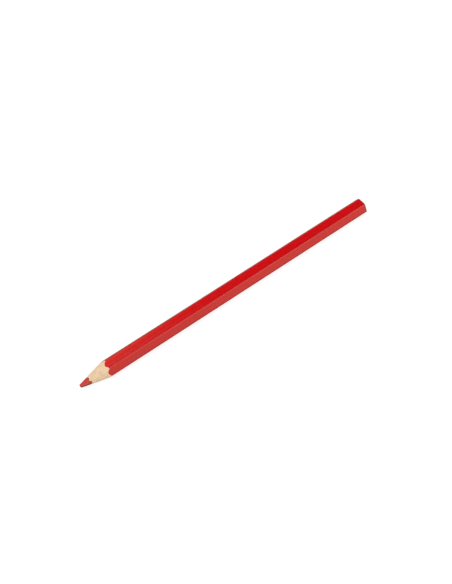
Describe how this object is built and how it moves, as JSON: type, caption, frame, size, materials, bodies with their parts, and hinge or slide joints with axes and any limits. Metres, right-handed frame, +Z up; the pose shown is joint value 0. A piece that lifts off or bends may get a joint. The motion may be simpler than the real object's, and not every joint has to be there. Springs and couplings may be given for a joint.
{
  "type": "carpenter pencil",
  "caption": "Hexagonal wooden marking pencil with a thick red lead, red gloss lacquer, a sharpened point and a square-cut end.",
  "frame": {"origin": "on the plane that the bottom flat rests on, under the middle of the pencil's length", "axes": "+X along the pencil from the point to the cut end, +Z up with the pencil lying on a flat, +Y across it; two ridges point along -Y and +Y"},
  "size_m": [0.175, 0.009, 0.0082],
  "materials": {
    "red_lead": "waxy coloured lead, turned by the sharpener, satin with fine cut marks",
    "casing_wood": "bare fine-grained softwood, sharpened, unvarnished",
    "glue": "dried wood glue, matt",
    "primer": "pale filler and primer coat, matt",
    "red_lacquer": "gloss lacquer with a faint ripple and handling marks"
  },
  "bodies": {
    "root": {"lead_core": "red_lead", "upper_slat": "casing_wood", "lower_slat": "casing_wood", "glue_line": "glue", "primer_coat": "primer", "lacquer_coat": "red_lacquer"}
  },
  "joints": []
}
